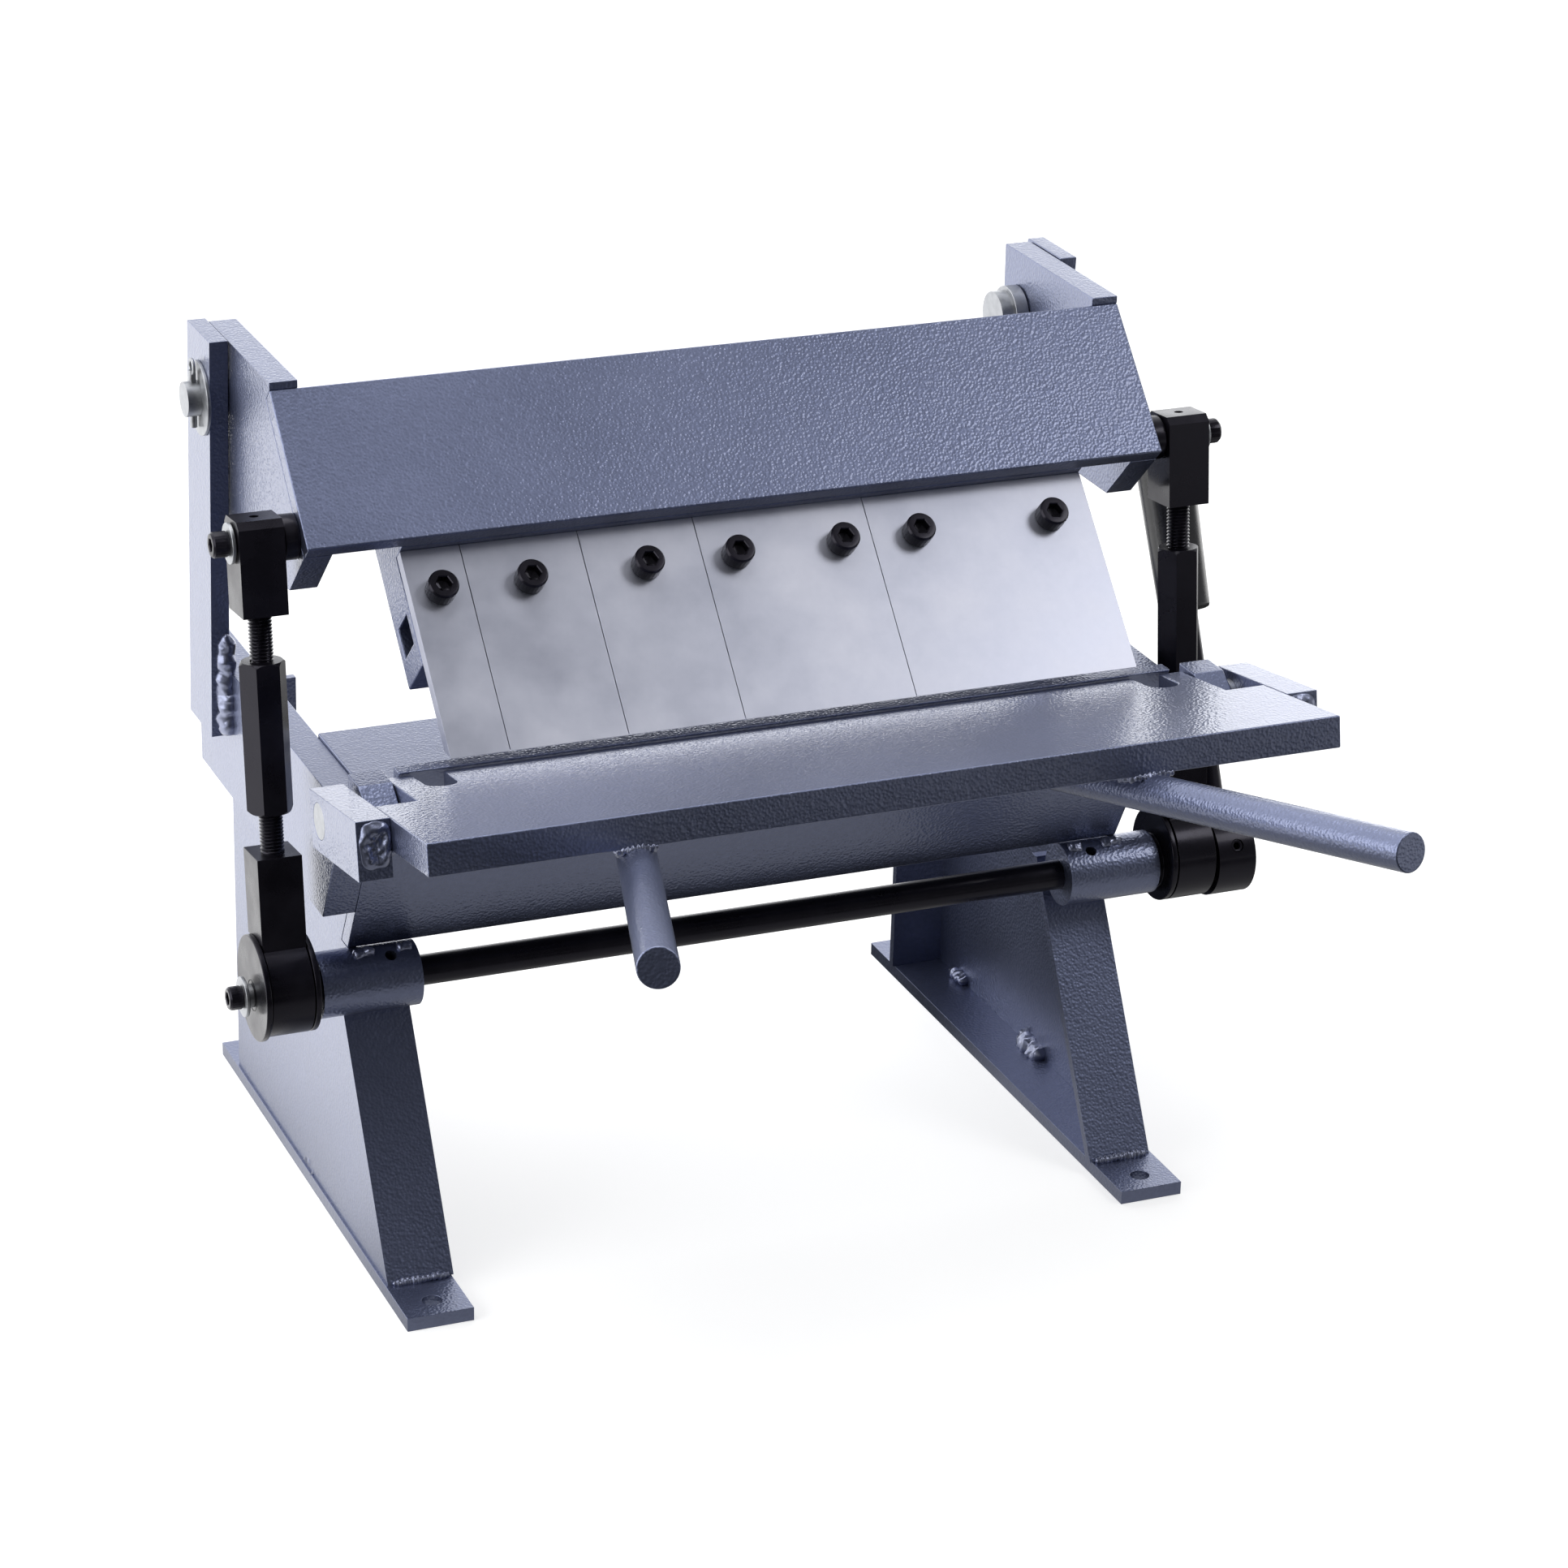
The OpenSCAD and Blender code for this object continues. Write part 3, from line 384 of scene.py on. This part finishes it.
def thread(shell, start, end, outer_d, pitch, depth):
    """Round bar with a helical thread between two places."""
    points, steps_per_turn = 40, 6
    start, end = Vector(start), Vector(end)
    axis = (end - start).normalized()
    side, up = cross_axes(axis)
    length = (end - start).length
    steps = int(length / pitch * steps_per_turn)
    rings = []
    for i in range(steps + 1):
        along = length * i / steps
        fade = min(1.0, along / pitch, (length - along) / pitch)
        ring = []
        for k in range(points):
            turn = (along / pitch - k / points) % 1.0
            radius = outer_d / 2 - depth * max(0.0, 1 - abs(2 * turn - 1) * 1.15) * fade
            angle = math.tau * k / points
            ring.append(start + axis * along + (side * math.cos(angle) + up * math.sin(angle)) * radius)
        rings.append(ring)
    shell.skin(rings)


def socket_screw(shell, seat, out, head_d, head_h, shank_d, shank_l, key_w):
    """Socket cap screw with knurls and a six-sided key socket. Out points from the seat to the head top."""
    points, knurls = 72, 24
    knurl_depth = 0.22
    chamfer = 0.5
    sixth = math.tau / 6
    seat, out = Vector(seat), Vector(out).normalized()
    side, up = cross_axes(out)

    def ring(radius_of, along):
        result = []
        for k in range(points):
            angle = math.tau * k / points
            place = (side * math.cos(angle) + up * math.sin(angle)) * radius_of(angle)
            result.append(seat + place + out * along)
        return result

    def plain(radius):
        return lambda angle: radius

    def knurled(angle):
        return head_d / 2 - knurl_depth * abs(math.sin(knurls * angle / 2)) ** 3

    def six_sided(grow):
        return lambda angle: (key_w / 2 + grow) / math.cos((angle % sixth) - sixth / 2)

    shell.skin([
        ring(plain(shank_d / 2 - chamfer), -shank_l),
        ring(plain(shank_d / 2), chamfer - shank_l),
        ring(plain(shank_d / 2), 0),
        ring(plain(head_d / 2 - chamfer), 0.01),
        ring(plain(head_d / 2 - 0.2), 0.5),
        ring(knurled, 0.8),
        ring(knurled, head_h - 1.3),
        ring(plain(head_d / 2 - 0.1), head_h - 0.9),
        ring(plain(head_d / 2 - 0.75), head_h - 0.05),
        ring(plain(head_d / 2 - 1.1), head_h),
        ring(six_sided(0.35), head_h),
        ring(six_sided(0.0), head_h - 0.4),
        ring(six_sided(0.0), head_h * 0.45),
        ring(plain(0.3), head_h * 0.36)])


def place_of(joint):
    """Place of a joint of the frame, in millimetres."""
    for row in frame["record"]["behaviour"]["joints"]:
        if row["name"] == joint:
            return Vector(row["pos_m"]) / MM
    raise KeyError(joint)


def leaf_point(x, forward, above):
    """Point on the leaf at rest, from the hinge axis: forward along the leaf and above its plane."""
    hinge = place_of("leaf_hinge")
    return Vector((x, hinge.y - forward * math.cos(LEAF_TILT) + above * math.sin(LEAF_TILT),
                   hinge.z + forward * math.sin(LEAF_TILT) + above * math.cos(LEAF_TILT)))


def clamp_point(x, down, behind):
    """Point near the clamping beam at rest: down along its face from the lower edge, and behind the face."""
    return Vector((x, BEAM_EDGE.y - down * math.cos(BEAM_SLOPE) + behind * math.sin(BEAM_SLOPE),
                   BEAM_EDGE.z - down * math.sin(BEAM_SLOPE) - behind * math.cos(BEAM_SLOPE)))


def frame_welds():
    """Beads at the columns, the feet and the shaft tubes, alike on both sides."""
    shell = Shell()
    column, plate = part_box("column_right"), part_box("side_plate_right")
    tube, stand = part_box("housing_right"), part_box("stand_right")
    foot_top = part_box("foot_right")[1].z / MM
    column_w, column_lean = 34.5, math.tan(math.radians(5))
    low_z, high_z = column[0].z / MM, plate[1].z / MM
    face_x, rear_y = plate[1].x / MM, column[1].y / MM
    front_y = rear_y - column_w
    rise = high_z - low_z
    stand_t = 4
    web_x = stand[1].x / MM - stand_t
    tube_x = tube[0].x / MM
    tube_y = (tube[0].y + tube[1].y) / 2 / MM - 4
    tube_z = (tube[0].z + tube[1].z) / 2 / MM + 13.6
    root_share = 0.45
    web_welds = [(86, 8, 3.2), (3, 12, 5.0)]
    toe_in, toe_out, toe_gap, toe_rise = 23, 2, 0.6, 0.8
    for side in (-1, 1):
        bead(shell, mirrored((face_x + 1.6, front_y - 0.6, low_z + 1), side),
             mirrored((face_x + 1.6, front_y - 0.6 - rise * column_lean, high_z - 1), side),
             radius=4.0, ripple=0.03, lump=0.45, grain=0.24)
        bead(shell, mirrored((face_x + 1.2, rear_y + 0.4, low_z + 2), side),
             mirrored((face_x + 1.2, rear_y + 0.4 - rise * column_lean, high_z - 1), side),
             radius=3.0, ripple=0.05)
        root = rise * root_share
        bead(shell, mirrored((face_x + 1.0, front_y - 1.0, low_z + 1), side),
             mirrored((face_x + 1.0, front_y - 1.0 - root * column_lean, low_z + root), side),
             radius=5.2, ripple=0.03, lump=0.4, grain=0.24)
        for place_y, reach, thick in web_welds:
            bead(shell, mirrored((web_x - 1, place_y - reach, foot_top + 2), side),
                 mirrored((web_x - 1, place_y + reach, foot_top + 2), side),
                 radius=thick, ripple=0.1, lump=0.55)
        for toe_y, radius in ((stand[0].y / MM - toe_gap, 2.0), (stand[1].y / MM + toe_gap, 2.2)):
            bead(shell, mirrored((web_x - toe_in, toe_y, foot_top + toe_rise), side),
                 mirrored((web_x + toe_out, toe_y, foot_top + toe_rise), side), radius, ripple=0.15, lump=0.4)
        for start_x, end_x, radius in ((tube_x + 2, tube_x + 9, 2.2), (tube_x + 18, web_x + 4, 2.6)):
            bead(shell, mirrored((start_x, tube_y, tube_z), side), mirrored((end_x, tube_y, tube_z), side),
                 radius, ripple=0.06, lump=0.6)
    shell.make("frame_welds", PAINT_WELD_HIGHLIT, "frame", WELD_SHARP)


def leaf_welds():
    """Caps on the cheeks' fronts, and beads under the cheeks and along the handles."""
    shell = Shell()
    cheek_x, cheek_t, cheek_front, cheek_seam = 194, 14, 51.5, 33
    leaf_top, leaf_t, leaf_front = 11, 13.5, 97.5
    handle_x, handle_v, splay = 110, -10.5, math.radians(17.4)
    cap_edge, cap_drop, cap_half_h, cap_thick = 0.5, 10.2, 9.6, 2.0
    seam_l, seam_out, seam_up = 44, 6.2, 6.6
    under = leaf_top - leaf_t - 0.2
    root = leaf_front - 2
    shift = seam_l * math.tan(splay)
    ahead = leaf_point(0, 1, 0) - leaf_point(0, 0, 0)
    above = leaf_point(0, 0, 1) - leaf_point(0, 0, 0)
    for side in (-1, 1):
        cap_place = leaf_point(cheek_x + cheek_t / 2 - cap_edge, cheek_front, leaf_top - cap_drop)
        weld_cap(shell, mirrored(cap_place, side), ahead, above,
                 half_width=cheek_t / 2 - cap_edge, half_height=cap_half_h, thick=cap_thick)
        bead(shell, mirrored(leaf_point(cheek_x + 0.2, cheek_seam, under), side),
             mirrored(leaf_point(cheek_x + 0.2, cheek_front, under), side), radius=2.6, ripple=0.15, lump=0.4)
        for edge_side in (-1, 1):
            seam_x = handle_x + edge_side * seam_out
            bead(shell, mirrored(leaf_point(seam_x - shift, root - seam_l, handle_v + seam_up), side),
                 mirrored(leaf_point(seam_x, root, handle_v + seam_up), side),
                 radius=3.0, ripple=0.15, lump=0.45)
        bead(shell, mirrored(leaf_point(handle_x - 9, leaf_front - 1.2, handle_v + 7.4), side),
             mirrored(leaf_point(handle_x + 9, leaf_front - 1.2, handle_v + 7.4), side),
             radius=1.9, ripple=0.2, lump=0.5)
    shell.make("leaf_welds", PAINT_WELD_HIGHLIT, "leaf", WELD_SHARP)


def clamp_welds():
    """Beads between the arms and both legs of the beam, and short ones along the backing bar."""
    shell = Shell()
    seam_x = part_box("arm_right")[0].x / MM - 0.3
    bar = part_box("backing_bar")
    bar_start, bar_end = bar[0].x / MM, bar[1].x / MM
    for side in (-1, 1):
        bead(shell, mirrored(clamp_point(seam_x, -60, 8.4), side),
             mirrored(clamp_point(seam_x, -4, 8.4), side), radius=3.0, ripple=0.14)
        bead(shell, mirrored(clamp_point(seam_x, -63.6, 14), side),
             mirrored(clamp_point(seam_x, -63.6, 62), side), radius=3.0, ripple=0.14)
    dash, dashes, inset = 30, 5, 10
    step = (bar_end - bar_start - 2 * inset - dash) / (dashes - 1)
    for k in range(dashes):
        begin = bar_start + inset + k * step
        bead(shell, clamp_point(begin, -22.2, 8.6), clamp_point(begin + dash, -22.2, 8.6),
             radius=2.6, ripple=0.14)
    shell.make("clamp_welds", PAINT_WELD_HIGHLIT, "clamp", WELD_SHARP)


def backing_channel():
    """Bar behind the fingers with the open channel that shows at its ends, in place of its plain solid."""
    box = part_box("backing_bar")
    depth, thick, width, shoulder, beam_t = 18, 26, 48, 22, 8
    outer = [(0, depth), (0, beam_t), (-shoulder, beam_t), (-shoulder, depth + thick), (width, depth + thick),
             (width, depth)]
    channel = [(23, 23), (23, 39), (36, 39), (36, 23)]
    ends = [box[0].x / MM, box[1].x / MM]
    mesh = bmesh.new()
    loops = []
    for outline in (outer, channel):
        loops.append([[mesh.verts.new(clamp_point(x, a, b) * MM) for a, b in outline] for x in ends])
    for near, far in loops:
        for k in range(len(near)):
            mesh.faces.new((near[k], near[k - 1], far[k - 1], far[k]))
    for index in range(len(ends)):
        rims = []
        for ring in loops:
            corners = ring[index]
            rims.extend(mesh.edges.get((corners[k], corners[k - 1])) for k in range(len(corners)))
        bmesh.ops.triangle_fill(mesh, edges=rims, use_beauty=True)
    bmesh.ops.recalc_face_normals(mesh, faces=mesh.faces)
    data = bpy.data.meshes.new("backing_channel")
    mesh.to_mesh(data)
    mesh.free()
    data.materials.append(PAINT)
    obj = bpy.data.objects.new("backing_channel", data)
    bpy.context.collection.objects.link(obj)
    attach(obj, "clamp")
    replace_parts(obj, "backing_bar")
    edge = obj.modifiers.new("edge", "BEVEL")
    edge.width = EDGE_WIDTH["paint"] * MM
    edge.segments = EDGE_STEPS
    edge.limit_method = "ANGLE"


def studs():
    """Threads of the four link studs, in place of their plain solids."""
    stud_d, pitch, depth = 10, 1.5, 0.92
    for end in ("left", "right"):
        pivot = place_of("link_swing_" + end)
        nut = place_of("nut_turn_" + end)
        down = (Vector((pivot.x, nut.y, nut.z)) - pivot).normalized()
        tilt_part = stud_d / 2 * abs(down.y)
        for level in ("upper", "lower"):
            node = level + "_stud_" + end
            low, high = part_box(node)
            reach_low = (pivot.z - high.z / MM + tilt_part) / -down.z
            reach_high = (pivot.z - low.z / MM - tilt_part) / -down.z
            shell = Shell()
            thread(shell, pivot + down * reach_low, pivot + down * reach_high, stud_d, pitch, depth)
            obj = shell.make(node + "_thread", BLACK, "link_" + end, THREAD_SHARP)
            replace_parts(obj, node)


def cap_screws():
    """Socket screws of the fingers, the links and the shaft end, in place of their plain solids."""
    shell = Shell()
    unit, row_shift, row_units = 25.4, 3, 12
    row_start = row_shift - row_units / 2 * unit
    units_and_insets = [(0.5, 0), (2, 0), (4, 0), (5, 14.5), (8, -14.5), (8, 20), (12, -20)]
    screw_drop, finger_face = 19.5, 12
    out = clamp_point(0, 0, 0) - clamp_point(0, 0, 1)
    for units, inset in units_and_insets:
        socket_screw(shell, clamp_point(row_start + unit * units + inset, screw_drop, finger_face), out,
                     head_d=13, head_h=8, shank_d=8, shank_l=32, key_w=6)
    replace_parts(shell.make("finger_cap_screws", BLACK, "clamp", SCREW_SHARP), "finger_screws")
    shell = Shell()
    washer_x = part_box("link_washers")[1].x / MM
    pivot = place_of("link_swing_right")
    boss_end_x = 178.5
    for side in (-1, 1):
        socket_screw(shell, (side * washer_x, pivot.y, pivot.z), (side, 0, 0),
                     head_d=10.8, head_h=7, shank_d=8, shank_l=washer_x - boss_end_x, key_w=5)
    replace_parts(shell.make("link_cap_screws", BLACK, "clamp", SCREW_SHARP), "link_screws")
    shell = Shell()
    low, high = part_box("end_screw")
    seat_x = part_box("end_washer")[0].x / MM
    middle = (low + high) / 2 / MM
    socket_screw(shell, (seat_x, middle.y, middle.z), (-1, 0, 0),
                 head_d=10, head_h=6, shank_d=6, shank_l=high.x / MM - seat_x, key_w=5)
    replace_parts(shell.make("end_cap_screw", BLACK, "cam", SCREW_SHARP), "end_screw")


frame_welds()
leaf_welds()
clamp_welds()
backing_channel()
studs()
cap_screws()

# Stage: a pale floor, a camera at the photograph's place, a graded studio and soft lamps, in metres.


def stage_floor():
    """White floor with the object's shadow and a painted shade under the feet. Glossy rays see a graded glow
    instead, which is a painted reflection: brightest behind and to the left, dim in front, with a painted
    shade of the object just under and behind it.
    """
    reach = 12
    camera_glow = 0.62
    dim, bright, below, far_right = 0.04, 1.7, 0.4, 0.75
    mesh = bpy.data.meshes.new("floor")
    corners = [(-reach, -reach, 0), (reach, -reach, 0), (reach, reach, 0), (-reach, reach, 0)]
    mesh.from_pydata(corners, [], [(0, 1, 2, 3)])
    floor = bpy.data.objects.new("floor", mesh)
    bpy.context.collection.objects.link(floor)
    mat, tree, shader = new_material("floor")
    vector = coords(tree)
    cloud = noise_node(tree, vector, scale=3)
    colour = ramp(tree, cloud, [(0.2, grey(0.56)), (0.8, grey(0.6))])
    tree.links.new(colour, shader.inputs["Base Color"])
    shader.inputs["Roughness"].default_value = 0.9
    shader.inputs["Specular IOR Level"].default_value = 0.1
    shader.inputs["Emission Color"].default_value = WHITE
    path = tree.nodes.new("ShaderNodeLightPath")
    split = tree.nodes.new("ShaderNodeSeparateXYZ")
    tree.links.new(vector, split.inputs[0])
    place_x, place_y = split.outputs["X"], split.outputs["Y"]

    # The floor has no glow under the feet, where it shows only through the bolt holes. This is painted shade,
    # so that the holes look dark.
    low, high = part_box("foot_right")
    away_x = math_node(tree, "ABSOLUTE", place_x)
    away_y = math_node(tree, "ABSOLUTE", place_y)
    foot_x = math_node(tree, "COMPARE", away_x, (low.x + high.x) / 2, (high.x - low.x) / 2)
    foot_y = math_node(tree, "LESS_THAN", away_y, high.y)
    feet_shade_mask = math_node(tree, "MULTIPLY", foot_x, foot_y)
    unshaded_floor = math_node(tree, "SUBTRACT", 1.0, feet_shade_mask)
    seen = math_node(tree, "MULTIPLY", path.outputs["Is Camera Ray"], camera_glow)
    tree.links.new(math_node(tree, "MULTIPLY", seen, unshaded_floor), shader.inputs["Emission Strength"])

    # Glow seen only by glossy rays, a painted reflection. It is bright behind and to the left, 0.4 under the
    # front of the object and 0.75 far to the right. It is dim elsewhere, which leaves a painted shade just
    # under and behind the object.
    behind = span_node(tree, place_y, 0.3, 0.8)
    beside = span_node(tree, place_x, -0.1, -0.26)
    not_before = span_node(tree, place_y, -0.2, 0.1)
    left = math_node(tree, "MULTIPLY", beside, not_before)
    lit_part = math_node(tree, "MAXIMUM", behind, left)
    near = span_node(tree, place_y, -0.6, -0.3)
    under = math_node(tree, "MULTIPLY", near, span_node(tree, place_y, 0.08, -0.04, below))
    right = span_node(tree, place_x, 0.7, 1.3, far_right)
    low_part = math_node(tree, "ADD", under, right)
    level = math_node(tree, "ADD", math_node(tree, "MULTIPLY_ADD", lit_part, bright, dim), low_part)
    painted_reflection_glow = tree.nodes.new("ShaderNodeEmission")
    tree.links.new(level, painted_reflection_glow.inputs["Strength"])
    mix_by_ray(tree, path.outputs["Is Glossy Ray"], shader.outputs[0], painted_reflection_glow.outputs[0],
               tree.nodes.get("Material Output"))
    mesh.materials.append(mat)


def lamp(name, place, size, watts):
    aim = (0, 0, 0.2)
    data = bpy.data.lights.new(name, "AREA")
    data.shape = "RECTANGLE"
    data.size, data.size_y = size
    data.energy = watts
    obj = bpy.data.objects.new(name, data)
    obj.location = place
    obj.rotation_euler = (Vector(aim) - Vector(place)).to_track_quat("-Z", "Y").to_euler()
    bpy.context.collection.objects.link(obj)


def stage_camera():
    """Camera that was fitted to straight edges of the photograph."""
    turn, tip, roll = math.radians(22.46), math.radians(22.50), math.radians(1.04)
    ahead = Vector((math.sin(turn) * math.cos(tip), math.cos(turn) * math.cos(tip), -math.sin(tip)))
    level_right = Vector((math.cos(turn), -math.sin(turn), 0))
    level_down = ahead.cross(level_right)
    right = math.cos(roll) * level_right - math.sin(roll) * level_down
    down = math.sin(roll) * level_right + math.cos(roll) * level_down
    camera_data = bpy.data.cameras.new("camera")
    camera_data.sensor_width = 36
    camera_data.lens = 107.16
    camera_data.clip_start = 0.05
    camera = bpy.data.objects.new("camera", camera_data)
    matrix = Matrix((right, -down, -ahead)).transposed().to_4x4()
    matrix.translation = Vector((-0.68508, -1.76266, 0.94937))
    camera.matrix_world = matrix
    bpy.context.collection.objects.link(camera)
    bpy.context.scene.camera = camera


def stage_world():
    """White to the camera. To other rays a studio that is bright behind, less so at the sides and above."""
    dim = 0.05
    world = bpy.data.worlds.new("studio")
    bpy.context.scene.world = world
    world.use_nodes = True
    tree = world.node_tree
    tree.nodes.clear()
    out = tree.nodes.new("ShaderNodeOutputWorld")
    source = tree.nodes.new("ShaderNodeTexCoord")
    split = tree.nodes.new("ShaderNodeSeparateXYZ")
    tree.links.new(source.outputs["Generated"], split.inputs[0])
    way_x, way_y, way_z = split.outputs["X"], split.outputs["Y"], split.outputs["Z"]
    above = span_node(tree, way_z, 0.3, 0.95, 0.24)
    left = span_node(tree, way_x, -0.1, -0.9, 0.5)
    right = span_node(tree, way_x, 0.25, 0.7, 0.3)
    behind = span_node(tree, way_y, 0.1, 0.7, 1.25)
    low_behind = math_node(tree, "MULTIPLY", span_node(tree, way_y, 0.3, 0.8, 1.1),
                           span_node(tree, way_z, 0.34, 0.04))
    sides = math_node(tree, "ADD", left, right)
    back = math_node(tree, "ADD", behind, low_behind)
    level = math_node(tree, "ADD", math_node(tree, "ADD", above, sides), math_node(tree, "ADD", back, dim))
    lit = tree.nodes.new("ShaderNodeBackground")
    lit.inputs["Color"].default_value = (0.97, 0.98, 1.0, 1)
    tree.links.new(level, lit.inputs["Strength"])
    seen = tree.nodes.new("ShaderNodeBackground")
    seen.inputs["Color"].default_value = WHITE
    seen.inputs["Strength"].default_value = 1.0
    path = tree.nodes.new("ShaderNodeLightPath")
    mix_by_ray(tree, path.outputs["Is Camera Ray"], lit.outputs[0], seen.outputs[0], out)
    bpy.context.scene.view_settings.view_transform = "Standard"


stage_floor()
stage_camera()
stage_world()
lamp("left", place=(-2.3, -0.1, 0.95), size=(2.4, 1.8), watts=34)
lamp("top", place=(-0.3, 0.3, 2.4), size=(2.2, 1.4), watts=26)
lamp("front", place=(1.6, -1.3, 2.2), size=(1.0, 0.9), watts=14)
